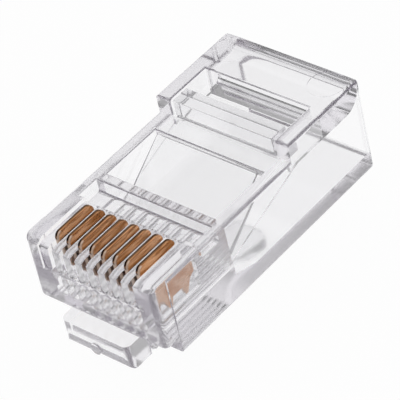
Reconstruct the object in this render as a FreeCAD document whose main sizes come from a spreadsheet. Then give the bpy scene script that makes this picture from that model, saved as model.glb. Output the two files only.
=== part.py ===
import FreeCAD, Part
import math
import os

import Sketcher
from FreeCAD import Vector

# Eight-way modular plug for network cable, before crimping.
# Frame: X across the contacts, nose at y = 0, cable entry at the far +Y end, contacts facing +Z.
# The underside of the body, on the latch side, lies at z = 0.

DRIVING_SIZES = [
    ("body_width", 11.68, "outside width of the body"),
    ("body_length", 22.2, "nose face to cable entry face"),
    ("body_height", 6.45, "height of the front part that enters the jack"),
    ("hood_height", 7.85, "height of the rear hood"),
    ("hood_length", 7.8, "length of the rear hood"),
    ("edge_radius", 0.3, "rounding of the long outside edges"),
    ("rim_radius", 0.15, "rounding of the rims of the openings"),
    ("nose_length", 1.3, "length of the narrowed nose"),
    ("nose_inset", 0.14, "how much narrower the nose is on each side"),
    ("nose_lift", 0.97, "nose underside above the body underside"),
    ("nose_radius", 0.5, "rounding of the nose corners"),
    ("lead_in_length", 0.55, "length of the sloped top edge of the nose"),
    ("lead_in_drop", 0.35, "drop of the sloped top edge of the nose"),
    ("contact_count", 8, "number of contacts"),
    ("contact_pitch", 1.02, "contact to contact"),
    ("contact_thickness", 0.32, "thickness of a contact blade"),
    ("contact_length", 3.6, "length of a contact blade"),
    ("contact_setback", 1.0, "front of the blades behind the nose face"),
    ("contact_stand", 0.3, "how far an uncrimped blade stands above the top face"),
    ("contact_height", 3.7, "top of a blade to its tooth tips"),
    ("contact_arch", 0.75, "height of the arch between the teeth"),
    ("contact_shank", 2.5, "top of a blade to its lower shoulders"),
    ("contact_front_radius", 0.45, "rounding of a blade's top front corner"),
    ("contact_rear_radius", 0.6, "rounding of a blade's top rear corner"),
    ("tooth_width", 0.22, "flat at a tooth tip"),
    ("tooth_setback", 0.9, "tooth tip from the end of a blade"),
    ("tooth_flank", 0.44, "run of a tooth's outer flank"),
    ("shoulder_slope", 0.22, "drop of a blade's lower shoulder"),
    ("slot_clearance", 0.03, "gap on each side of a blade"),
    ("slot_end_clearance", 0.25, "gap behind a blade in its slot"),
    ("sill_depth", 2.45, "slot sill at the nose below the top face"),
    ("front_wall", 0.85, "nose wall ahead of the wire channels"),
    ("comb_setback", 0.15, "front of the ribs behind the nose face"),
    ("comb_wall", 1.3, "side wall beside the contacts"),
    ("comb_depth", 0.35, "tops of the ribs between the contacts below the top face"),
    ("rib_slope_length", 0.45, "length of the sloped front of a rib top"),
    ("rib_slope_drop", 0.15, "drop of the sloped front of a rib top"),
    ("funnel_width", 0.8, "width of the diamond recess at a slot foot"),
    ("funnel_drop", 0.05, "widest level of the diamond recess below the slot sill"),
    ("funnel_half_height", 0.6, "half the height of the diamond recess"),
    ("channel_radius", 0.48, "radius of a wire channel"),
    ("channel_height", 2.2, "wire channel axis above the underside"),
    ("trough_start", 5.0, "front of the trough behind the contacts"),
    ("trough_length", 1.8, "length of the trough"),
    ("trough_depth", 1.15, "depth of the trough"),
    ("trough_radius", 0.2, "rounding at the foot of the trough"),
    ("trough_wall", 0.74, "side wall beside the trough"),
    ("bar_thickness", 0.8, "thickness of the bar between trough and window"),
    ("window_wall", 1.04, "side wall beside the conductor window"),
    ("window_strip", 1.69, "strip between the conductor window and the hood"),
    ("window_floor", 1.72, "floor of the conductor window"),
    ("tongue_side_gap", 0.35, "gap beside the conductor tongue"),
    ("tongue_front_gap", 0.4, "gap between bar and tongue"),
    ("tongue_tip_top", 3.4, "top of the tongue at its tip"),
    ("tongue_thickness", 0.6, "upright thickness of the tongue at its tip"),
    ("tongue_web_radius", 0.12, "radius of the web that carries the tongue"),
    ("web_radius", 0.25, "radius of the web that carries the jacket strain relief"),
    ("web_drop", 0.25, "jacket strain relief web axis below the face in front of the hood"),
    ("hinge_gap", 0.06, "gap around a web"),
    ("throat_front_top", 2.9, "top of the throat at the wire channels"),
    ("hinge_space_top", 5.95, "top of the space between the window and the pocket"),
    ("cavity_wall", 0.84, "side wall beside the cable cavity and its throat"),
    ("cavity_floor", 1.1, "floor under the cable cavity"),
    ("cavity_roof", 2.35, "roof over the cable cavity"),
    ("cavity_length", 6.9, "length of the cable cavity from the rear face"),
    ("entry_radius", 1.5, "rounding of the roof at the cable entry"),
    ("ramp_length", 2.0, "length of the ramp from window floor to cavity floor"),
    ("relief_wall", 1.24, "side wall beside the jacket strain relief"),
    ("relief_side_gap", 0.2, "gap beside the jacket strain relief"),
    ("relief_thickness", 1.55, "thickness of the jacket strain relief"),
    ("relief_setback", 0.05, "strain relief face behind the hood front"),
    ("relief_skirt", 0.5, "jacket strain relief underside below the face in front of the hood"),
    ("relief_lip", 0.05, "gap under the front lip of the strain relief"),
    ("pocket_length", 3.9, "length of the pocket that holds the strain relief"),
    ("pocket_depth", 3.0, "depth of the pocket"),
    ("mark_radius", 1.35, "radius of an ejector mark"),
    ("mark_depth", 0.05, "depth of an ejector mark"),
    ("mark_side", 1.65, "ejector mark centre from the side face"),
    ("mark_rear", 1.45, "ejector mark centre from the rear face"),
    ("latch_width", 6.02, "width of the latch up to its shoulders"),
    ("latch_tail_width", 3.25, "width of the latch behind its shoulders"),
    ("latch_thickness", 1.0, "thickness of the latch arm"),
    ("latch_tail_thickness", 0.92, "thickness of the latch tail"),
    ("latch_shoulder", 8.4, "latch shoulders behind the nose face"),
    ("latch_wedge_length", 2.4, "length of the wedge under the shoulders"),
    ("latch_wedge_height", 0.3, "height of the wedge under the shoulders"),
    ("latch_end", 14.6, "latch tip behind the nose face"),
    ("latch_tip_radius", 1.2, "corner radius of the latch tip"),
    ("latch_angle", 10.5, "slope of the free latch, in degrees"),
    ("latch_pivot_back", 1.5, "latch web axis behind the nose face"),
    ("latch_press_gap", 0.12, "gap left over the latch when it is pressed flat"),
    ("root_reach", 1.05, "latch root ahead of the nose face"),
    ("root_radius", 0.55, "rounding of the latch root"),
    ("root_overlap", 0.45, "how far the latch root runs into the nose"),
    ("gate_radius", 0.45, "radius of the moulding gate mark"),
    ("gate_height", 0.14, "height of the moulding gate mark"),
    ("gate_drop", 0.35, "gate mark centre below the body underside"),
]

doc = FreeCAD.newDocument("modular_plug")
sheet = doc.addObject("Spreadsheet::Sheet", "Sizes")


class Size:
    """A length held both as a number and as an expression on the spreadsheet."""

    def __init__(self, number, text=None):
        self.number = float(number)
        self.text = text or f"({number})"

    def __add__(self, other):
        other = as_size(other)
        return Size(self.number + other.number, f"({self.text} + {other.text})")

    def __sub__(self, other):
        other = as_size(other)
        return Size(self.number - other.number, f"({self.text} - {other.text})")

    def __rsub__(self, other):
        return as_size(other) - self

    def __mul__(self, other):
        other = as_size(other)
        return Size(self.number * other.number, f"({self.text} * {other.text})")

    def __truediv__(self, other):
        other = as_size(other)
        return Size(self.number / other.number, f"({self.text} / {other.text})")

    def __neg__(self):
        return Size(-self.number, f"(-{self.text})")

    __radd__ = __add__
    __rmul__ = __mul__


def as_size(value):
    return value if isinstance(value, Size) else Size(value)


def slope_of(angle):
    """Tangent of an angle in degrees."""
    return Size(math.tan(math.radians(angle.number)), f"tan({angle.text} * 1 deg)")


def cosine_of(angle):
    """Cosine of an angle in degrees."""
    return Size(math.cos(math.radians(angle.number)), f"cos({angle.text} * 1 deg)")


def fill_sheet():
    """Write the driving dimensions into the sheet and return them by name."""
    named = {}
    for row, (alias, number, meaning) in enumerate(DRIVING_SIZES, start=1):
        sheet.set(f"A{row}", alias)
        sheet.set(f"B{row}", str(number))
        sheet.setAlias(f"B{row}", alias)
        sheet.set(f"C{row}", meaning)
        named[alias] = Size(number, f"Sizes.{alias}")
    doc.recompute()
    return named


# How a sketch lies in each origin plane: the sign of its normal on the third axis.
NORMAL_SIGN = {"YZ_Plane": 1, "XZ_Plane": -1, "XY_Plane": 1}


def new_body(label):
    body = doc.addObject("PartDesign::Body", label)
    body.Label = label
    return body


def new_sketch(body, name, plane, station):
    """Attach an empty sketch to one of the body's origin planes, shifted along its normal."""
    support = [feature for feature in body.Origin.OriginFeatures if feature.Role == plane][0]
    sketch = body.newObject("Sketcher::SketchObject", name)
    sketch.AttachmentSupport = [(support, "")]
    sketch.MapMode = "FlatFace"
    shift = as_size(station) * NORMAL_SIGN[plane]
    sketch.setExpression("AttachmentOffset.Base.z", shift.text)
    return sketch


def pin_point(sketch, geometry, position, point):
    """Hold one point of the sketch at a place given by two sizes."""
    for kind, value in zip(("DistanceX", "DistanceY"), point):
        value = as_size(value)
        rule = Sketcher.Constraint(kind, -1, 1, geometry, position, value.number)
        number = sketch.addConstraint(rule)
        sketch.setExpression(f"Constraints[{number}]", value.text)


def draw_outline(sketch, points):
    """Draw a closed outline of straight lines whose corners are all pinned."""
    corners = [Vector(as_size(a).number, as_size(b).number, 0) for a, b in points]
    count = len(corners)
    for index in range(count):
        line = Part.LineSegment(corners[index], corners[(index + 1) % count])
        sketch.addGeometry(line, False)
    for index in range(count):
        joint = Sketcher.Constraint("Coincident", index, 2, (index + 1) % count, 1)
        sketch.addConstraint(joint)
    for index, point in enumerate(points):
        pin_point(sketch, index, 1, point)


def draw_circle(sketch, centre, radius):
    middle = Vector(as_size(centre[0]).number, as_size(centre[1]).number, 0)
    circle = Part.Circle(middle, Vector(0, 0, 1), radius.number)
    sketch.addGeometry(circle, False)
    pin_point(sketch, 0, 3, centre)
    number = sketch.addConstraint(Sketcher.Constraint("Radius", 0, radius.number))
    sketch.setExpression(f"Constraints[{number}]", radius.text)


def extrude(body, kind, name, plane, start, end, draw):
    """Add or remove a prism between two stations along the plane's third axis."""
    start = as_size(start)
    end = as_size(end)
    sketch = new_sketch(body, f"{name}_sketch", plane, (start + end) / 2)
    draw(sketch)
    feature = body.newObject(f"PartDesign::{kind}", name)
    feature.Profile = sketch
    feature.Midplane = True
    feature.setExpression("Length", (end - start).text)
    doc.recompute()
    return feature


def prism(body, kind, name, plane, start, end, points):
    return extrude(body, kind, name, plane, start, end, lambda sketch: draw_outline(sketch, points))


def rod(body, kind, name, plane, start, end, centre, radius):
    return extrude(body, kind, name, plane, start, end, lambda sketch: draw_circle(sketch, centre, radius))


def box(body, kind, name, x_span, y_span, z_span):
    """A prism with the given spans along X, Y and Z."""
    corners = [
        (y_span[0], z_span[0]),
        (y_span[1], z_span[0]),
        (y_span[1], z_span[1]),
        (y_span[0], z_span[1]),
    ]
    return prism(body, kind, name, "YZ_Plane", x_span[0], x_span[1], corners)


def along(edge, axis):
    """Whether a straight edge runs along an axis."""
    if len(edge.Vertexes) != 2:
        return False
    run = edge.Vertexes[1].Point - edge.Vertexes[0].Point
    straight = abs(run.Length - edge.Length) < 1e-6
    return straight and abs(abs(run.dot(axis)) - run.Length) < 1e-6


def round_edges(body, name, radius, wanted):
    """Round every edge of the body's tip that the test picks."""
    base = body.Tip
    names = [f"Edge{index}" for index, edge in enumerate(base.Shape.Edges, start=1) if wanted(edge)]
    fillet = body.newObject("PartDesign::Fillet", name)
    fillet.Base = (base, names)
    fillet.setExpression("Radius", radius.text)
    doc.recompute()
    return fillet


def near(value, size):
    return abs(value - as_size(size).number) < 1e-4


ACROSS = Vector(1, 0, 0)
LENGTHWISE = Vector(0, 1, 0)
UPRIGHT = Vector(0, 0, 1)

sizes = fill_sheet()


def dim(name):
    return sizes[name]


half_width = dim("body_width") / 2
nose_half_width = half_width - dim("nose_inset")
hood_start = dim("body_length") - dim("hood_length")
trough_end = dim("trough_start") + dim("trough_length")
window_start = trough_end + dim("bar_thickness")
window_end = hood_start - dim("window_strip")
cavity_start = dim("body_length") - dim("cavity_length")
contact_rear = dim("contact_setback") + dim("contact_length")
first_contact = -(dim("contact_count") - 1) * dim("contact_pitch") / 2
slot_sill = dim("body_height") - dim("sill_depth")
comb_top = dim("body_height") - dim("comb_depth")
funnel_middle = slot_sill - dim("funnel_drop")
web_height = dim("body_height") - dim("web_drop")
tongue_pivot_back = window_end - dim("hinge_gap") - dim("tongue_web_radius")
tongue_pivot_height = dim("body_height") - dim("tongue_web_radius")
relief_front = hood_start + dim("relief_setback")
relief_pivot_back = relief_front + dim("web_radius")
pocket_front = relief_front - dim("hinge_gap")
pocket_end = hood_start + dim("pocket_length")
window_half = half_width - dim("window_wall")
trough_half = half_width - dim("trough_wall")
relief_half = half_width - dim("relief_wall")
latch_radius = dim("latch_thickness") / 2
latch_pivot_height = -dim("latch_press_gap") - latch_radius
root_rear = dim("latch_pivot_back") - latch_radius - dim("hinge_gap")
root_bottom = latch_pivot_height - latch_radius

# How far a cut runs on into a space that is open already.
overrun = 0.15
above = dim("hood_height") + overrun
behind = dim("body_length") + overrun
ahead = -overrun


def add_body_shell(body):
    """The outer block with its raised hood."""
    outline = [
        (dim("nose_length"), 0),
        (dim("body_length"), 0),
        (dim("body_length"), dim("hood_height")),
        (hood_start, dim("hood_height")),
        (hood_start, dim("body_height")),
        (dim("nose_length"), dim("body_height")),
    ]
    prism(body, "Pad", "shell", "YZ_Plane", -half_width, half_width, outline)

    def outer_edge(edge):
        middle = edge.CenterOfMass
        on_front = near(middle.y, dim("nose_length"))
        in_step = near(middle.y, hood_start) and not near(middle.z, dim("hood_height"))
        return not on_front and not in_step

    round_edges(body, "shell_rounding", dim("edge_radius"), outer_edge)


def add_nose(body):
    """The narrower nose with its lifted underside and sloped top edge."""
    overlap = dim("nose_length") + dim("front_wall")
    outline = [
        (0, dim("nose_lift")),
        (overlap, dim("nose_lift")),
        (overlap, dim("body_height")),
        (dim("lead_in_length"), dim("body_height")),
        (0, dim("body_height") - dim("lead_in_drop")),
    ]
    prism(body, "Pad", "nose", "YZ_Plane", -nose_half_width, nose_half_width, outline)

    def nose_corner(edge):
        middle = edge.CenterOfMass
        on_side = near(abs(middle.x), nose_half_width)
        upright = along(edge, UPRIGHT) and near(middle.y, 0)
        low = along(edge, LENGTHWISE) and near(middle.z, dim("nose_lift"))
        front_low = along(edge, ACROSS) and near(middle.y, 0) and near(middle.z, dim("nose_lift"))
        return (on_side and (upright or low)) or front_low

    round_edges(body, "nose_rounding", dim("nose_radius"), nose_corner)


def add_latch_root(body):
    """The block under the nose that carries the latch, with the mark of the moulding gate."""
    half = dim("latch_width") / 2
    inside = dim("nose_lift") + dim("root_overlap")
    outline = [
        (-dim("root_reach"), root_bottom),
        (root_rear, root_bottom),
        (root_rear, inside),
        (dim("root_overlap"), inside),
        (dim("root_overlap"), dim("nose_lift")),
        (-dim("root_reach"), dim("nose_lift")),
    ]
    prism(body, "Pad", "latch_root", "YZ_Plane", -half, half, outline)

    def root_corner(edge):
        middle = edge.CenterOfMass
        in_front = near(middle.y, -dim("root_reach"))
        upright = along(edge, UPRIGHT)
        low = along(edge, ACROSS) and near(middle.z, root_bottom)
        return in_front and (upright or low)

    round_edges(body, "root_rounding", dim("root_radius"), root_corner)
    gate_centre = (0, -dim("gate_drop"))
    gate_face = -dim("root_reach")
    rod(body, "Pad", "gate_mark", "XZ_Plane", gate_face - dim("gate_height"), gate_face + dim("gate_height"),
        gate_centre, dim("gate_radius"))


def cut_cable_cavity(body):
    """The cavity that takes the cable jacket, flared at the entry, and the throat ahead of it."""
    half = half_width - dim("cavity_wall")
    roof = dim("hood_height") - dim("cavity_roof")
    box(body, "Pocket", "cable_cavity", (-half, half), (cavity_start, behind), (dim("cavity_floor"), roof))

    def entry_edge(edge):
        middle = edge.CenterOfMass
        return along(edge, ACROSS) and near(middle.y, dim("body_length")) and near(middle.z, roof)

    round_edges(body, "entry_rounding", dim("entry_radius"), entry_edge)
    outline = [
        (window_start, dim("window_floor")),
        (window_start + dim("ramp_length"), dim("cavity_floor")),
        (cavity_start + overrun, dim("cavity_floor")),
        (cavity_start + overrun, roof),
        (cavity_start, roof),
        (window_start, dim("throat_front_top")),
    ]
    prism(body, "Pocket", "throat", "YZ_Plane", -half, half, outline)


def cut_windows(body):
    """The two windows above the strain reliefs and the trough behind the contacts."""
    box(body, "Pocket", "conductor_window", (-window_half, window_half),
        (window_start, window_end), (dim("window_floor"), above))
    box(body, "Pocket", "hinge_space", (-window_half, window_half),
        (window_end - overrun, pocket_front + overrun), (dim("window_floor"), dim("hinge_space_top")))
    trough_floor = dim("body_height") - dim("trough_depth")
    box(body, "Pocket", "trough", (-trough_half, trough_half),
        (dim("trough_start"), trough_end), (trough_floor, above))

    def trough_foot(edge):
        return along(edge, ACROSS) and near(edge.CenterOfMass.z, trough_floor)

    round_edges(body, "trough_rounding", dim("trough_radius"), trough_foot)
    box(body, "Pocket", "jacket_pocket", (-relief_half, relief_half),
        (pocket_front, pocket_end), (dim("hood_height") - dim("pocket_depth"), above))


def round_rims(body):
    """Round the upper rims of the window, the trough and the pocket."""
    bar_edges = (dim("trough_start"), trough_end, window_start, window_end)

    def rim(edge):
        middle = edge.CenterOfMass
        if near(middle.z, dim("body_height")):
            if along(edge, LENGTHWISE):
                return near(abs(middle.x), window_half) or near(abs(middle.x), trough_half)
            return along(edge, ACROSS) and any(near(middle.y, back) for back in bar_edges)
        if near(middle.z, dim("hood_height")):
            if along(edge, LENGTHWISE):
                return near(abs(middle.x), relief_half)
            return along(edge, ACROSS) and near(middle.y, pocket_end)
        return False

    round_edges(body, "rim_rounding", dim("rim_radius"), rim)


def cut_contact_comb(body):
    """The recess over the ribs, then one slot, channel and slot foot, repeated at the pitch."""
    comb_half = half_width - dim("comb_wall")
    rib_front = dim("comb_setback")
    rib_slope_end = rib_front + dim("rib_slope_length")
    outline = [
        (ahead, slot_sill),
        (rib_front, slot_sill),
        (rib_front, comb_top - dim("rib_slope_drop")),
        (rib_slope_end, comb_top),
        (dim("trough_start") + overrun, comb_top),
        (dim("trough_start") + overrun, above),
        (ahead, above),
    ]
    prism(body, "Pocket", "comb_recess", "YZ_Plane", -comb_half, comb_half, outline)

    slot_half = dim("contact_thickness") / 2 + dim("slot_clearance")
    slot_rear = contact_rear + dim("slot_end_clearance")
    slot_outline = [
        (ahead, slot_sill),
        (dim("front_wall"), slot_sill),
        (dim("front_wall"), dim("channel_height")),
        (slot_rear, dim("channel_height")),
        (slot_rear, above),
        (ahead, above),
    ]
    slot = prism(body, "Pocket", "contact_slot", "YZ_Plane",
                 first_contact - slot_half, first_contact + slot_half, slot_outline)
    channel = rod(body, "Pocket", "wire_channel", "XZ_Plane", dim("front_wall"),
                  window_start + overrun, (first_contact, dim("channel_height")), dim("channel_radius"))
    diamond = [
        (first_contact, funnel_middle - dim("funnel_half_height")),
        (first_contact + dim("funnel_width") / 2, funnel_middle),
        (first_contact, funnel_middle + dim("funnel_half_height")),
        (first_contact - dim("funnel_width") / 2, funnel_middle),
    ]
    funnel = prism(body, "Pocket", "slot_foot", "XZ_Plane", rib_front, dim("front_wall"), diamond)

    pattern = body.newObject("PartDesign::LinearPattern", "contact_row")
    pattern.Originals = [slot, channel, funnel]
    x_axis = [feature for feature in body.Origin.OriginFeatures if feature.Role == "X_Axis"][0]
    pattern.Direction = (x_axis, [""])
    pattern.setExpression("Length", ((dim("contact_count") - 1) * dim("contact_pitch")).text)
    pattern.setExpression("Occurrences", dim("contact_count").text)
    body.Tip = pattern
    doc.recompute()


def cut_ejector_marks(body):
    """Two shallow round marks on top of the hood."""
    for side in (-1, 1):
        centre = (side * (half_width - dim("mark_side")), dim("body_length") - dim("mark_rear"))
        rod(body, "Pocket", "ejector_mark", "XY_Plane", dim("hood_height") - dim("mark_depth"), above,
            centre, dim("mark_radius"))


def make_housing():
    body = new_body("housing")
    add_body_shell(body)
    add_nose(body)
    add_latch_root(body)
    cut_cable_cavity(body)
    cut_windows(body)
    round_rims(body)
    cut_contact_comb(body)
    cut_ejector_marks(body)
    return body


def make_latch():
    """The sprung latch: a wide arm up to the shoulders, then a narrow tail."""
    body = new_body("latch")
    half = dim("latch_width") / 2
    slope = slope_of(dim("latch_angle"))
    half_depth = latch_radius / cosine_of(dim("latch_angle"))
    tail_depth = dim("latch_tail_thickness") / cosine_of(dim("latch_angle"))

    def top_at(back):
        return latch_pivot_height + half_depth - slope * (back - dim("latch_pivot_back"))

    def bottom_at(back):
        return top_at(back) - half_depth * 2

    shoulder = dim("latch_shoulder")
    wedge_start = shoulder - dim("latch_wedge_length")
    arm = [
        (dim("latch_pivot_back"), bottom_at(dim("latch_pivot_back"))),
        (wedge_start, bottom_at(wedge_start)),
        (shoulder, bottom_at(shoulder) - dim("latch_wedge_height")),
        (shoulder, top_at(shoulder)),
        (dim("latch_pivot_back"), top_at(dim("latch_pivot_back"))),
    ]
    prism(body, "Pad", "arm", "YZ_Plane", -half, half, arm)
    rod(body, "Pad", "web", "YZ_Plane", -half, half, (dim("latch_pivot_back"), latch_pivot_height), latch_radius)
    tail_half = dim("latch_tail_width") / 2
    tail_end = dim("latch_end")
    tail = [
        (wedge_start, top_at(wedge_start) - tail_depth),
        (tail_end, top_at(tail_end) - tail_depth),
        (tail_end, top_at(tail_end)),
        (wedge_start, top_at(wedge_start)),
    ]
    prism(body, "Pad", "tail", "YZ_Plane", -tail_half, tail_half, tail)

    def tip_corner(edge):
        return along(edge, UPRIGHT) and near(edge.CenterOfMass.y, tail_end)

    round_edges(body, "tip_rounding", dim("latch_tip_radius"), tip_corner)
    return body


def make_conductor_relief():
    """The hinged tongue that clamps the separate conductors when the plug is crimped."""
    body = new_body("conductor_strain_relief")
    half = window_half - dim("tongue_side_gap")
    tip = window_start + dim("tongue_front_gap")
    outline = [
        (tip, dim("tongue_tip_top") - dim("tongue_thickness")),
        (tongue_pivot_back, dim("body_height") - dim("tongue_web_radius") * 2),
        (tongue_pivot_back, dim("body_height")),
        (tip, dim("tongue_tip_top")),
    ]
    prism(body, "Pad", "tongue", "YZ_Plane", -half, half, outline)
    rod(body, "Pad", "web", "YZ_Plane", -half, half, (tongue_pivot_back, tongue_pivot_height),
        dim("tongue_web_radius"))
    return body


def make_jacket_relief():
    """The hinged bar that clamps the cable jacket when the plug is crimped."""
    body = new_body("jacket_strain_relief")
    half = relief_half - dim("relief_side_gap")
    rear = relief_front + dim("relief_thickness")
    bottom = dim("body_height") - dim("relief_skirt")
    lip = dim("body_height") + dim("relief_lip")
    outline = [
        (relief_pivot_back, bottom),
        (rear, bottom),
        (rear, dim("hood_height")),
        (relief_front, dim("hood_height")),
        (relief_front, lip),
        (relief_pivot_back, lip),
    ]
    prism(body, "Pad", "block", "YZ_Plane", -half, half, outline)
    rod(body, "Pad", "web", "YZ_Plane", -half, half, (relief_pivot_back, web_height), dim("web_radius"))
    return body


def make_contact(index):
    """One flat contact blade with two piercing teeth."""
    body = new_body(f"contact_{index + 1}")
    middle = first_contact + dim("contact_pitch") * index
    half = dim("contact_thickness") / 2
    front = dim("contact_setback")
    top = dim("body_height") + dim("contact_stand")
    shoulder = top - dim("contact_shank")
    tip = top - dim("contact_height")
    arch = tip + dim("contact_arch")
    flat = dim("tooth_width")
    flank = dim("tooth_flank")
    neck = shoulder - dim("shoulder_slope")
    front_tooth = front + dim("tooth_setback")
    rear_tooth = contact_rear - dim("tooth_setback")
    outline = [
        (front, shoulder),
        (front_tooth - flank, neck),
        (front_tooth, tip),
        (front_tooth + flat, tip),
        (front_tooth + flat + flank / 2, arch),
        (rear_tooth - flat - flank / 2, arch),
        (rear_tooth - flat, tip),
        (rear_tooth, tip),
        (rear_tooth + flank, neck),
        (contact_rear, shoulder),
        (contact_rear, top),
        (front, top),
    ]
    prism(body, "Pad", "blade", "YZ_Plane", middle - half, middle + half, outline)

    def top_corner_at(back):
        def wanted(edge):
            corner = edge.CenterOfMass
            return along(edge, ACROSS) and near(corner.z, top) and near(corner.y, back)
        return wanted

    round_edges(body, "front_rounding", dim("contact_front_radius"), top_corner_at(front))
    round_edges(body, "rear_rounding", dim("contact_rear_radius"), top_corner_at(contact_rear))
    return body


def check_and_export(bodies):
    """Stop on any failed object or broken shape, then write one STEP file for each sub-part."""
    doc.recompute()
    for item in doc.Objects:
        if "Invalid" in item.State or "Error" in item.State:
            raise RuntimeError(f"{item.Label} did not compute: {item.State}")
    for body in bodies:
        shape = body.Shape
        if shape.isNull() or not shape.isValid() or len(shape.Solids) != 1:
            raise RuntimeError(f"{body.Label} is not one valid solid")
    os.makedirs("parts", exist_ok=True)
    for body in bodies:
        body.Shape.exportStep(f"parts/{body.Label}.step")
        print(f"{body.Label}: {body.Shape.Volume:.3f} mm3")


contacts = [make_contact(index) for index in range(int(dim("contact_count").number))]
moving = [make_latch(), make_conductor_relief(), make_jacket_relief()]
check_and_export([make_housing()] + moving + contacts)
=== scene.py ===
import math

import bmesh
import bpy
from bpy.props import FloatProperty, FloatVectorProperty, PointerProperty
from mathutils import Matrix, Vector


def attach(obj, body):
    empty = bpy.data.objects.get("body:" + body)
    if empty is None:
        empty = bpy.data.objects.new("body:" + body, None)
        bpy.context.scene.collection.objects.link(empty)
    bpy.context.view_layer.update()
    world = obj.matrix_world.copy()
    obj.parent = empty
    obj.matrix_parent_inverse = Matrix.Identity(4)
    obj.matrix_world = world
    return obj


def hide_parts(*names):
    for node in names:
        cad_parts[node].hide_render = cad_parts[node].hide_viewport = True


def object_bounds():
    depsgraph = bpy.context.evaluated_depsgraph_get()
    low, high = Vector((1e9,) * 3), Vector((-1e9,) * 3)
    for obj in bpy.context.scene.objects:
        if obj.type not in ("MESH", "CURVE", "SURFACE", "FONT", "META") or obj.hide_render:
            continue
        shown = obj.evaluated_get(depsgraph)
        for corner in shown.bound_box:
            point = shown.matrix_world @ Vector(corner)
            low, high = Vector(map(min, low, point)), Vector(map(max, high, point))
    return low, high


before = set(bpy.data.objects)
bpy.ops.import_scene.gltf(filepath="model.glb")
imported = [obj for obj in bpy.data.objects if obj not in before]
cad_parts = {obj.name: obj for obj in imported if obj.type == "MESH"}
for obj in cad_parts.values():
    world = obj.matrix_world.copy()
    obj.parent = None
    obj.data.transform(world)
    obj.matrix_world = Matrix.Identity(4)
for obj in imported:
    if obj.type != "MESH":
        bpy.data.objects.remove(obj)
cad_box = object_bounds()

bl_info = {
    "name": "Clear Modular Plug",
    "version": (1, 0, 0),
    "blender": (4, 5, 0),
    "location": "3D View > Sidebar > Plug",
    "description": "Finishes a clear eight-way modular plug and its studio stage",
    "category": "Object",
}

MM = 0.001
WELD_DISTANCE = 0.001 * MM
FLAT_ANGLE = math.radians(0.5)
SHARP_ANGLE = math.radians(50.0)
CREASE_ANGLE = math.radians(40.0)
EDGE_SEGMENTS = 2
SHOWN_SHARE = 0.97
LIGHT_BOUNCES = 128
WHITE = (1.0, 1.0, 1.0)
RESIN = "polished_clear_resin"
GOLD = "gold_plating"
CONTACT_NAMES = [name for name in sorted(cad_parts) if name.startswith("contact_")]
BODY_OF = {
    "latch": "latch",
    "conductor_strain_relief": "conductor_relief",
    "jacket_strain_relief": "jacket_relief",
}

# Where the marks on a contact blade start and end, in millimetres. The rim, crescent and dot are
# painted shade, the pale edge and the pale front face are painted highlights, and the darkening towards
# the foot is painted shade.
# They are placed to the right of its middle (ACROSS), behind its front (BEHIND), below its top (BELOW)
# and inside its outline (INSIDE). EDGE and END are how softly a mark fades.
RIM_ACROSS = (0.10, -0.04)
RIM_SHARES = (0.2, 0.6)
CRESCENT_ACROSS = (0.04, 0.0)
CRESCENT_BELOW = (0.36, 0.28)
CRESCENT_EDGE = 0.06
CRESCENT_END = 0.15
DOT_LEFT = 0.06
DOT_EDGE = 0.03
DOT_STRETCH = 0.5
HIGHLIGHT_ACROSS = (0.02, 0.06)
HIGHLIGHT_BEHIND = (0.5, 0.3)
HIGHLIGHT_INSIDE = (0.10, 0.04)
SLOT_BEHIND = (0.08, 0.04)
SLOT_BELOW = (0.5, 0.6)
FOOT_BELOW = (0.3, 0.65)
PLATING_EDGE = 0.1

# The wear of the plating, the darkening towards a blade's front and the painted shade towards its foot:
# noise, and shares from none to all.
STREAK_SCALE = (9000.0, 600.0, 5600.0)
STREAK_DETAIL = 4.0
STREAK_BAND = (0.36, 0.66)
PATCH_SCALE = 1100.0
PATCH_DETAIL = 3.0
PATCH_BAND = (0.42, 0.62)
PATCH_WEAR = 0.75
FRONT_DARKENING = 0.3
FOOT_SHADE = 0.4
BUMP_STRENGTH = 0.5
BUMP_HEIGHT = 0.01 * MM
ROUGHNESS_SPREAD = 0.2
ROUGHNESS_DROP = 0.06
HIGHLIGHT_DULLNESS = 0.9


class MouldingSettings(bpy.types.PropertyGroup):
    """The clear resin and the finish of the mould."""

    edge_radius: FloatProperty(
        name="Edge radius", description="Rounding of the moulded edges",
        default=0.12 * MM, min=0.0, max=0.3 * MM, unit="LENGTH", precision=6)
    resin_colour: FloatVectorProperty(
        name="Resin", description="Tint of the clear resin",
        default=(0.985, 0.985, 0.99), size=3, subtype="COLOR", min=0.0, max=1.0)
    refraction: FloatProperty(
        name="Refraction", description="Refractive index of polycarbonate",
        default=1.585, min=1.0, max=2.5)
    polish: FloatProperty(
        name="Polish", description="Roughness of the polished mould faces",
        default=0.08, min=0.0, max=1.0)
    depth_colour: FloatVectorProperty(
        name="Depth tint", description="Colour that thick resin turns towards",
        default=(0.52, 0.465, 0.565), size=3, subtype="COLOR", min=0.0, max=1.0)
    depth_density: FloatProperty(
        name="Depth density", description="How strongly thick resin is tinted, for each metre",
        default=30.0, min=0.0)


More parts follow.
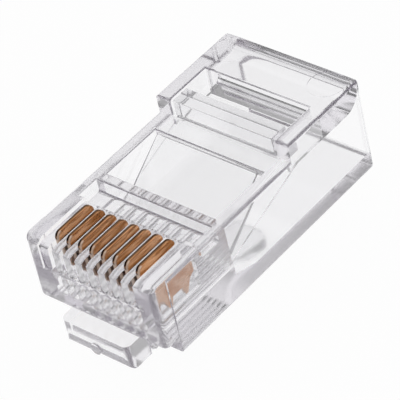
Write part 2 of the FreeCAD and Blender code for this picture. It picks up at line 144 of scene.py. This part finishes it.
class ContactSettings(bpy.types.PropertyGroup):
    """The plated contact blades."""

    edge_radius: FloatProperty(
        name="Edge radius", description="Rounding of the stamped edges",
        default=0.05 * MM, min=0.0, max=0.15 * MM, unit="LENGTH", precision=6)
    gold_colour: FloatVectorProperty(
        name="Gold", description="Thin gold plating over bronze",
        default=(0.96, 0.54, 0.29), size=3, subtype="COLOR", min=0.0, max=1.0)
    # This colour serves the worn streaks, the darkening towards a blade's front, the painted shade
    # towards its foot and the bronze patches.
    wear_and_shade_colour: FloatVectorProperty(
        name="Worn gold", description="Darker lines along the length of a blade",
        default=(0.40, 0.15, 0.04), size=3, subtype="COLOR", min=0.0, max=1.0)
    # Painted shade: the colour of the dark rim, crescent and dot on each blade.
    painted_shade_colour: FloatVectorProperty(
        name="Tarnish", description="Dark tone of the stamped rim of a blade",
        default=(0.035, 0.014, 0.006), size=3, subtype="COLOR", min=0.0, max=1.0)
    # Width of the painted shade along a blade's rim.
    painted_shade_width: FloatProperty(
        name="Tarnish width", description="Width of the dark rim",
        default=0.08 * MM, min=0.0, max=0.5 * MM, unit="LENGTH", precision=6)
    # The crescent and the dot below it are painted shade on a blade's rounded front.
    crescent_width: FloatProperty(
        name="Crescent width", description="Width of the dark crescent on a blade's front corner",
        default=0.16 * MM, min=0.0, max=0.5 * MM, unit="LENGTH", precision=6)
    crescent_reach: FloatProperty(
        name="Crescent reach", description="How far the crescent runs back from a blade's front",
        default=0.5 * MM, min=0.0, max=1.0 * MM, unit="LENGTH", precision=6)
    dot_drop: FloatProperty(
        name="Dot drop", description="Dark dot at a blade's front, below its top",
        default=0.52 * MM, min=0.0, max=1.0 * MM, unit="LENGTH", precision=6)
    dot_radius: FloatProperty(
        name="Dot radius", description="Size of the dark dot",
        default=0.12 * MM, min=0.0, max=0.5 * MM, unit="LENGTH", precision=6)
    # Painted highlight: the pale edge beside the crescent and the pale front face, made less metallic.
    painted_highlight_colour: FloatVectorProperty(
        name="Bare edge", description="Pale bare metal beside the dark crescent",
        default=(1.0, 0.74, 0.58), size=3, subtype="COLOR", min=0.0, max=1.0)
    # The lower part of a blade, below the plated height: thinner plating, darkened further as painted
    # shade where it stands down between the ribs.
    shaded_bronze_colour: FloatVectorProperty(
        name="Bronze", description="Thinly plated bronze of a blade's lower part",
        default=(0.56, 0.35, 0.235), size=3, subtype="COLOR", min=0.0, max=1.0)
    plated_height: FloatProperty(
        name="Plated height", description="Height of the thickly plated top of a blade",
        default=0.72 * MM, unit="LENGTH", precision=6)
    pitch: FloatProperty(
        name="Pitch", description="Contact to contact",
        default=1.02 * MM, unit="LENGTH", precision=6)
    front_radius: FloatProperty(
        name="Front radius", description="Rounding of a blade's top front corner",
        default=0.45 * MM, unit="LENGTH", precision=6)
    rear_radius: FloatProperty(
        name="Rear radius", description="Rounding of a blade's top rear corner",
        default=0.6 * MM, unit="LENGTH", precision=6)
    roughness: FloatProperty(
        name="Roughness", description="Roughness of the plated faces",
        default=0.2, min=0.0, max=1.0)


class StageSettings(bpy.types.PropertyGroup):
    """The camera, floor and studio light."""

    azimuth: FloatProperty(
        name="Azimuth", description="Camera turn round the plug",
        default=math.radians(48.6), subtype="ANGLE")
    elevation: FloatProperty(
        name="Elevation", description="Camera height above the horizon",
        default=math.radians(39.9), subtype="ANGLE")
    roll: FloatProperty(
        name="Roll", description="Turn of the camera about its own axis",
        default=math.radians(-13.7), subtype="ANGLE")
    distance: FloatProperty(
        name="Distance", description="Camera to the point it looks at",
        default=196.0 * MM, unit="LENGTH")
    lens: FloatProperty(
        name="Lens", description="Focal length in millimetres on a 36 mm sensor",
        default=261.4)
    aim: FloatVectorProperty(
        name="Aim", description="Point that the camera looks at",
        default=(0.0, 10.75 * MM, 4.0 * MM), size=3, subtype="TRANSLATION")
    shift: FloatVectorProperty(
        name="Shift", description="Shift of the picture across the lens",
        default=(0.008, -0.014), size=2)
    floor_gap: FloatProperty(
        name="Floor gap", description="Floor below the lowest point",
        default=0.02 * MM, unit="LENGTH", precision=6)
    floor_radius: FloatProperty(
        name="Floor radius", description="Radius of the pale floor",
        default=2.0, unit="LENGTH")
    floor_colour: FloatVectorProperty(
        name="Floor", description="Colour of the floor",
        default=(0.9, 0.9, 0.9), size=3, subtype="COLOR", min=0.0, max=1.0)
    horizon_level: FloatProperty(
        name="Horizon", description="Brightness of the room at the horizon",
        default=0.05, min=0.0)
    room_level: FloatProperty(
        name="Room", description="Brightness of the room below the softbox",
        default=0.36, min=0.0)
    ceiling_level: FloatProperty(
        name="Ceiling", description="Brightness of the softbox overhead",
        default=1.1, min=0.0)
    room_top: FloatProperty(
        name="Room top", description="Sine of the height at which the softbox starts",
        default=0.64, min=0.0, max=1.0)
    softbox_start: FloatProperty(
        name="Softbox start", description="Sine of the height at which the softbox is fully bright",
        default=0.92, min=0.0, max=1.0)


class Wire:
    """A socket that can stand in a sum."""

    def __init__(self, graph, socket):
        self.graph = graph
        self.socket = socket

    def sum_of(self, operation, first, second):
        node = self.graph.node("ShaderNodeMath", {"operation": operation}, {0: first, 1: second})
        return Wire(self.graph, node.outputs[0])

    def __add__(self, other):
        return self.sum_of("ADD", self, other)

    def __sub__(self, other):
        return self.sum_of("SUBTRACT", self, other)

    def __rsub__(self, other):
        return self.sum_of("SUBTRACT", other, self)

    def __mul__(self, other):
        return self.sum_of("MULTIPLY", self, other)

    def __truediv__(self, other):
        return self.sum_of("DIVIDE", self, other)

    def __pow__(self, other):
        return self.sum_of("POWER", self, other)

    def at_least(self, other):
        return self.sum_of("MAXIMUM", self, other)

    def at_most(self, other):
        return self.sum_of("MINIMUM", self, other)

    __radd__ = __add__
    __rmul__ = __mul__


class Graph:
    """The nodes of one material or of the world."""

    def __init__(self, owner):
        owner.use_nodes = True
        self.tree = owner.node_tree
        self.tree.nodes.clear()

    def node(self, kind, settings=None, values=None):
        """Add a node, set it up, then give its sockets their values or links."""
        node = self.tree.nodes.new(kind)
        for name, value in (settings or {}).items():
            if name == "stops":
                self.set_stops(node, value)
            else:
                setattr(node, name, value)
        for name, value in (values or {}).items():
            if isinstance(value, Wire):
                self.tree.links.new(value.socket, node.inputs[name])
            else:
                node.inputs[name].default_value = value
        return node

    def set_stops(self, node, stops):
        elements = node.color_ramp.elements
        while len(elements) < len(stops):
            elements.new(1.0)
        for element, (position, colour) in zip(elements, stops):
            element.position = position
            element.color = colour

    def wire(self, kind, settings=None, values=None, output=0):
        return Wire(self, self.node(kind, settings, values).outputs[output])

    def surface(self, kind, shader):
        self.node(kind, None, {"Surface": shader})


def grey(level):
    return (level, level, level, 1.0)


def with_alpha(colour):
    return (*colour, 1.0)


def make_moulding(settings):
    """Clear polycarbonate, polished, that turns a little darker and lilac where it is thick."""
    material = bpy.data.materials.new(RESIN)
    graph = Graph(material)
    shader = graph.wire("ShaderNodeBsdfPrincipled", None, {
        "Base Color": with_alpha(settings.resin_colour),
        "Roughness": settings.polish,
        "IOR": settings.refraction,
        "Transmission Weight": 1.0,
    })
    depth = graph.wire("ShaderNodeVolumeAbsorption", None, {
        "Color": with_alpha(settings.depth_colour), "Density": settings.depth_density})
    graph.node("ShaderNodeOutputMaterial", None, {"Surface": shader, "Volume": depth})
    return material


def blade_span():
    """The corners of the box round one contact blade."""
    corners = [Vector(corner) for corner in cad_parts["contact_1"].bound_box]
    low = Vector([min(corner[axis] for corner in corners) for axis in range(3)])
    high = Vector([max(corner[axis] for corner in corners) for axis in range(3)])
    return low, high


def smooth_step(graph, value, start, end, low=0.0, high=1.0):
    """A soft change from low to high while the value goes from start to end."""
    return graph.wire("ShaderNodeMapRange", {"interpolation_type": "SMOOTHSTEP"}, {
        "Value": value, "From Min": start, "From Max": end, "To Min": low, "To Max": high})


def blend(graph, share, first, second):
    """One colour turning into another; a colour is a setting or a wire."""
    before, after = [item if isinstance(item, Wire) else with_alpha(item) for item in (first, second)]
    return graph.wire("ShaderNodeMix", {"data_type": "RGBA"}, {0: share, 6: before, 7: after}, output=2)


class BladePlace:
    """Where a point lies on its contact blade, in millimetres."""

    def __init__(self, graph, settings):
        low, high = (corner / MM for corner in blade_span())
        pitch = settings.pitch / MM
        self.point = graph.wire("ShaderNodeTexCoord", output="Object")
        parts = graph.node("ShaderNodeSeparateXYZ", None, {"Vector": self.point})
        self.length = high.y - low.y
        self.behind = Wire(graph, parts.outputs["Y"]) / MM - low.y
        self.below = high.z - Wire(graph, parts.outputs["Z"]) / MM
        self.across = graph.wire("ShaderNodeMath", {"operation": "WRAP"}, {
            0: Wire(graph, parts.outputs["X"]) / MM, 1: pitch, 2: 0.0}) - pitch * 0.5

    def inside_front(self, settings):
        """How far the point is inside the outline with its rounded top front corner."""
        radius = settings.front_radius / MM
        return self.inside_corner(radius - self.behind, radius)

    def inside_rear(self, settings):
        """The same for the top rear corner."""
        radius = settings.rear_radius / MM
        return self.inside_corner(self.behind - (self.length - radius), radius)

    def inside_corner(self, beyond, radius):
        above = radius - self.below
        return radius - (beyond.at_least(0.0) ** 2.0 + above.at_least(0.0) ** 2.0) ** 0.5


def rim_painted_shade(graph, place, settings):
    """Painted shade: the thin dark line round a blade's top outline, darkest on the left."""
    inside = place.inside_front(settings).at_most(place.inside_rear(settings))
    line = smooth_step(graph, inside, settings.painted_shade_width / MM, 0.0)
    return line * smooth_step(graph, place.across, *RIM_ACROSS, *RIM_SHARES)


def front_crescent(graph, place, settings):
    """Painted shade: the dark crescent over the left part of the rounded front corner."""
    width = settings.crescent_width / MM
    reach = settings.crescent_reach / MM
    crescent = smooth_step(graph, place.inside_front(settings), width, width - CRESCENT_EDGE)
    crescent = crescent * smooth_step(graph, place.behind, reach, reach - CRESCENT_END)
    crescent = crescent * smooth_step(graph, place.below, *CRESCENT_BELOW)
    return crescent * smooth_step(graph, place.across, *CRESCENT_ACROSS)


def front_dot(graph, place, settings):
    """Painted shade: the dark dot below the crescent."""
    size = settings.dot_radius / MM
    drop = (place.below - settings.dot_drop / MM) ** 2.0
    aside = (place.across + DOT_LEFT) ** 2.0
    behind = place.behind.at_least(0.0) ** 2.0 * DOT_STRETCH
    return smooth_step(graph, (drop + aside + behind) ** 0.5, size + DOT_EDGE, size - DOT_EDGE)


def painted_highlight_edge(graph, place, settings):
    """Painted highlight: the pale edge to the right of the crescent."""
    edge = smooth_step(graph, place.inside_front(settings), *HIGHLIGHT_INSIDE)
    edge = edge * smooth_step(graph, place.across, *HIGHLIGHT_ACROSS)
    return edge * smooth_step(graph, place.behind, *HIGHLIGHT_BEHIND)


def slot_front(graph, place):
    """Painted highlight: the pale front face of a blade, where it goes down into its slot."""
    front = smooth_step(graph, place.behind, *SLOT_BEHIND)
    return front * smooth_step(graph, place.below, *SLOT_BELOW)


def plated_face(graph, place, grain, settings):
    """Gold with streaks of wear along the blade, darker towards the front, and darker towards the foot
    as painted shade.
    """
    streaks = smooth_step(graph, grain, *STREAK_BAND)
    # Darker towards the front; painted shade towards the foot.
    to_front = smooth_step(graph, place.behind, place.length, 0.0, 0.0, FRONT_DARKENING)
    to_foot = smooth_step(graph, place.below, *FOOT_BELOW, 0.0, FOOT_SHADE)
    wear_and_shade = (streaks * (1.0 - to_front) + to_front + to_foot).at_most(1.0)
    return blend(graph, wear_and_shade, settings.gold_colour, settings.wear_and_shade_colour)


def shaded_bronze(graph, place, settings):
    """The thinly plated lower part, in uneven patches, in a bronze tone darkened further as painted
    shade where it stands down between the ribs.
    """
    patches = graph.wire("ShaderNodeTexNoise", None, {
        "Vector": place.point, "Scale": PATCH_SCALE, "Detail": PATCH_DETAIL})
    share = smooth_step(graph, patches, *PATCH_BAND) * PATCH_WEAR
    return blend(graph, share, settings.shaded_bronze_colour, settings.wear_and_shade_colour)


def make_gold(settings):
    """Thin gold plating over bronze, with painted shade on the rim, crescent, dot and foot of each
    blade, a bronze lower part darkened further by painted shade, and painted highlights on the pale
    edge and front face.
    """
    material = bpy.data.materials.new(GOLD)
    graph = Graph(material)
    place = BladePlace(graph, settings)
    stretched = graph.wire("ShaderNodeMapping", None, {"Vector": place.point, "Scale": STREAK_SCALE})
    grain = graph.wire("ShaderNodeTexNoise", None, {
        "Vector": stretched, "Scale": 1.0, "Detail": STREAK_DETAIL})
    # Painted highlights: the pale front face and the pale edge beside the crescent.
    pale_front = slot_front(graph, place)
    painted_highlight = painted_highlight_edge(graph, place, settings).at_least(pale_front)
    # Painted shade: the dark rim, crescent and dot.
    dark = rim_painted_shade(graph, place, settings).at_least(front_crescent(graph, place, settings))
    dark = dark.at_least(front_dot(graph, place, settings))
    face = blend(graph, painted_highlight, plated_face(graph, place, grain, settings), settings.painted_highlight_colour)
    top = blend(graph, dark, face, settings.painted_shade_colour)
    foot = settings.plated_height / MM
    # Below the plated height the blade turns to bronze, darkened further as painted shade.
    plated = smooth_step(graph, place.below, foot + PLATING_EDGE, foot - PLATING_EDGE)
    blade = blend(graph, plated, shaded_bronze(graph, place, settings), top)
    bump = graph.wire("ShaderNodeBump", None, {
        "Height": grain, "Strength": BUMP_STRENGTH, "Distance": BUMP_HEIGHT})
    shader = graph.wire("ShaderNodeBsdfPrincipled", None, {
        "Base Color": blend(graph, pale_front, blade, settings.painted_highlight_colour),
        # The painted highlights are made less metallic so that they stay pale.
        "Metallic": 1.0 - painted_highlight * HIGHLIGHT_DULLNESS,
        "Roughness": grain * ROUGHNESS_SPREAD + settings.roughness - ROUGHNESS_DROP,
        "Normal": bump,
    })
    graph.surface("ShaderNodeOutputMaterial", shader)
    return material


def rounded_copy(node, radius):
    """Copy a CAD piece, join its triangles into faces and round its sharp edges."""
    shape = bmesh.new()
    shape.from_mesh(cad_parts[node].data)
    bmesh.ops.remove_doubles(shape, verts=shape.verts, dist=WELD_DISTANCE)
    bmesh.ops.dissolve_limit(shape, angle_limit=FLAT_ANGLE, verts=shape.verts, edges=shape.edges)
    sharp = [edge for edge in shape.edges if edge.is_manifold and edge.calc_face_angle() > SHARP_ANGLE]
    if radius > 0.0:
        bmesh.ops.bevel(shape, geom=sharp, offset=radius, offset_type="OFFSET", segments=EDGE_SEGMENTS,
                        profile=0.5, affect="EDGES", material=-1, clamp_overlap=False)
    mesh = bpy.data.meshes.new(node + "_form")
    shape.to_mesh(mesh)
    shape.free()
    kept_normals = mesh.attributes.get("custom_normal")
    if kept_normals:
        mesh.attributes.remove(kept_normals)
    return mesh


def add_piece(name, mesh, material, body, replaced):
    """Put a finished mesh in the scene, riding on its body in place of the CAD piece."""
    mesh.materials.clear()
    mesh.materials.append(material)
    mesh.shade_smooth()
    mesh.set_sharp_from_angle(angle=CREASE_ANGLE)
    piece = bpy.data.objects.new(name, mesh)
    bpy.context.scene.collection.objects.link(piece)
    even = piece.modifiers.new("even_normals", "WEIGHTED_NORMAL")
    even.keep_sharp = True
    even.weight = 100
    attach(piece, body)
    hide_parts(replaced)
    return piece


def found_material(name, maker, settings):
    return bpy.data.materials.get(name) or maker(settings)


class PLUG_OT_housing(bpy.types.Operator):
    """Finish the clear housing"""

    bl_idname = "plug.housing"
    bl_label = "Clear housing"

    def execute(self, context):
        settings = context.scene.plug_moulding
        material = found_material(RESIN, make_moulding, settings)
        mesh = rounded_copy("housing", 0.0)
        add_piece("clear_housing", mesh, material, "housing", "housing")
        return {"FINISHED"}


class PLUG_OT_moving_parts(bpy.types.Operator):
    """Finish the latch and the two strain reliefs"""

    bl_idname = "plug.moving_parts"
    bl_label = "Latch and strain reliefs"

    def execute(self, context):
        settings = context.scene.plug_moulding
        material = found_material(RESIN, make_moulding, settings)
        for node, body in BODY_OF.items():
            mesh = rounded_copy(node, settings.edge_radius)
            add_piece("clear_" + node, mesh, material, body, node)
        return {"FINISHED"}


class PLUG_OT_contacts(bpy.types.Operator):
    """Finish the gold contact blades"""

    bl_idname = "plug.contacts"
    bl_label = "Contact blades"

    def execute(self, context):
        settings = context.scene.plug_contacts
        material = found_material(GOLD, make_gold, settings)
        for node in CONTACT_NAMES:
            mesh = rounded_copy(node, settings.edge_radius)
            add_piece("gold_" + node, mesh, material, node, node)
        return {"FINISHED"}


def make_floor_material(settings):
    """A pale floor that the camera and the clear parts see as white."""
    material = bpy.data.materials.new("pale_floor")
    graph = Graph(material)
    paths = graph.node("ShaderNodeLightPath")
    camera_sees = Wire(graph, paths.outputs["Is Camera Ray"])
    reflected = Wire(graph, paths.outputs["Is Glossy Ray"])
    plug_sees = reflected + Wire(graph, paths.outputs["Is Transmission Ray"])
    matt = graph.wire("ShaderNodeBsdfDiffuse", None, {"Color": with_alpha(settings.floor_colour)})
    glow = graph.wire("ShaderNodeEmission", None, {"Color": grey(1.0), "Strength": 1.0})
    share = (camera_sees + plug_sees).at_most(1.0) * SHOWN_SHARE
    shader = graph.wire("ShaderNodeMixShader", None, {0: share, 1: matt, 2: glow})
    graph.surface("ShaderNodeOutputMaterial", shader)
    return material


def add_floor(settings):
    """A round floor just below the lowest point of the plug."""
    height = cad_box[0].z - settings.floor_gap
    shape = bmesh.new()
    bmesh.ops.create_circle(shape, cap_ends=True, segments=64, radius=settings.floor_radius,
                            matrix=Matrix.Translation((0.0, 0.0, height)))
    mesh = bpy.data.meshes.new("pale_floor")
    shape.to_mesh(mesh)
    shape.free()
    mesh.materials.append(make_floor_material(settings))
    floor = bpy.data.objects.new("pale_floor", mesh)
    bpy.context.scene.collection.objects.link(floor)


def add_world(settings):
    """A soft studio: bright overhead, darker towards the horizon."""
    world = bpy.data.worlds.new("studio")
    bpy.context.scene.world = world
    graph = Graph(world)
    direction = graph.wire("ShaderNodeTexCoord", output="Generated")
    parts = graph.node("ShaderNodeSeparateXYZ", None, {"Vector": direction})
    height = Wire(graph, parts.outputs["Z"])
    studio = graph.wire("ShaderNodeValToRGB", {"stops": [
        (0.0, grey(settings.horizon_level)),
        (settings.room_top, grey(settings.room_level)),
        (settings.softbox_start, grey(settings.ceiling_level))]}, {0: height})
    camera_sees = graph.wire("ShaderNodeLightPath", output="Is Camera Ray")
    colour = blend(graph, camera_sees, studio, WHITE)
    back = graph.wire("ShaderNodeBackground", None, {"Color": colour, "Strength": 1.0})
    graph.surface("ShaderNodeOutputWorld", back)


def add_camera(settings):
    """The camera at the photograph's angle, turned about its own axis by the roll."""
    turn, rise = settings.azimuth, settings.elevation
    back = Vector((math.sin(turn) * math.cos(rise), -math.cos(turn) * math.cos(rise), math.sin(rise)))
    data = bpy.data.cameras.new("camera")
    data.lens = settings.lens
    data.sensor_width = 36.0
    data.shift_x, data.shift_y = settings.shift
    data.clip_start = 10.0 * MM
    data.clip_end = 10.0
    camera = bpy.data.objects.new("camera", data)
    bpy.context.scene.collection.objects.link(camera)
    camera.rotation_mode = "QUATERNION"
    level = back.to_track_quat("Z", "Y")
    camera.rotation_quaternion = level @ Matrix.Rotation(settings.roll, 3, "Z").to_quaternion()
    camera.location = Vector(settings.aim) + back * settings.distance
    bpy.context.scene.camera = camera


class PLUG_OT_stage(bpy.types.Operator):
    """Add the camera, the pale floor and the studio light"""

    bl_idname = "plug.stage"
    bl_label = "Stage"

    def execute(self, context):
        settings = context.scene.plug_stage
        add_camera(settings)
        add_floor(settings)
        add_world(settings)
        scene = context.scene
        scene.view_settings.view_transform = "Standard"
        scene.cycles.max_bounces = LIGHT_BOUNCES
        scene.cycles.transmission_bounces = LIGHT_BOUNCES
        scene.cycles.glossy_bounces = LIGHT_BOUNCES
        return {"FINISHED"}


class PLUG_PT_panel(bpy.types.Panel):
    """Buttons that finish each part of the plug"""

    bl_idname = "PLUG_PT_panel"
    bl_label = "Clear modular plug"
    bl_space_type = "VIEW_3D"
    bl_region_type = "UI"
    bl_category = "Plug"

    def draw(self, context):
        column = self.layout.column()
        for operator in OPERATORS:
            column.operator(operator.bl_idname)


SETTINGS = {
    "plug_moulding": MouldingSettings,
    "plug_contacts": ContactSettings,
    "plug_stage": StageSettings,
}
OPERATORS = (PLUG_OT_stage, PLUG_OT_housing, PLUG_OT_moving_parts, PLUG_OT_contacts)
CLASSES = (*SETTINGS.values(), *OPERATORS, PLUG_PT_panel)


def register():
    for item in CLASSES:
        bpy.utils.register_class(item)
    for name, kind in SETTINGS.items():
        setattr(bpy.types.Scene, name, PointerProperty(type=kind))


def unregister():
    for name in SETTINGS:
        delattr(bpy.types.Scene, name)
    for item in reversed(CLASSES):
        bpy.utils.unregister_class(item)


def main():
    register()
    bpy.ops.plug.stage()
    bpy.ops.plug.housing()
    bpy.ops.plug.moving_parts()
    bpy.ops.plug.contacts()


if __name__ == "__main__":
    main()
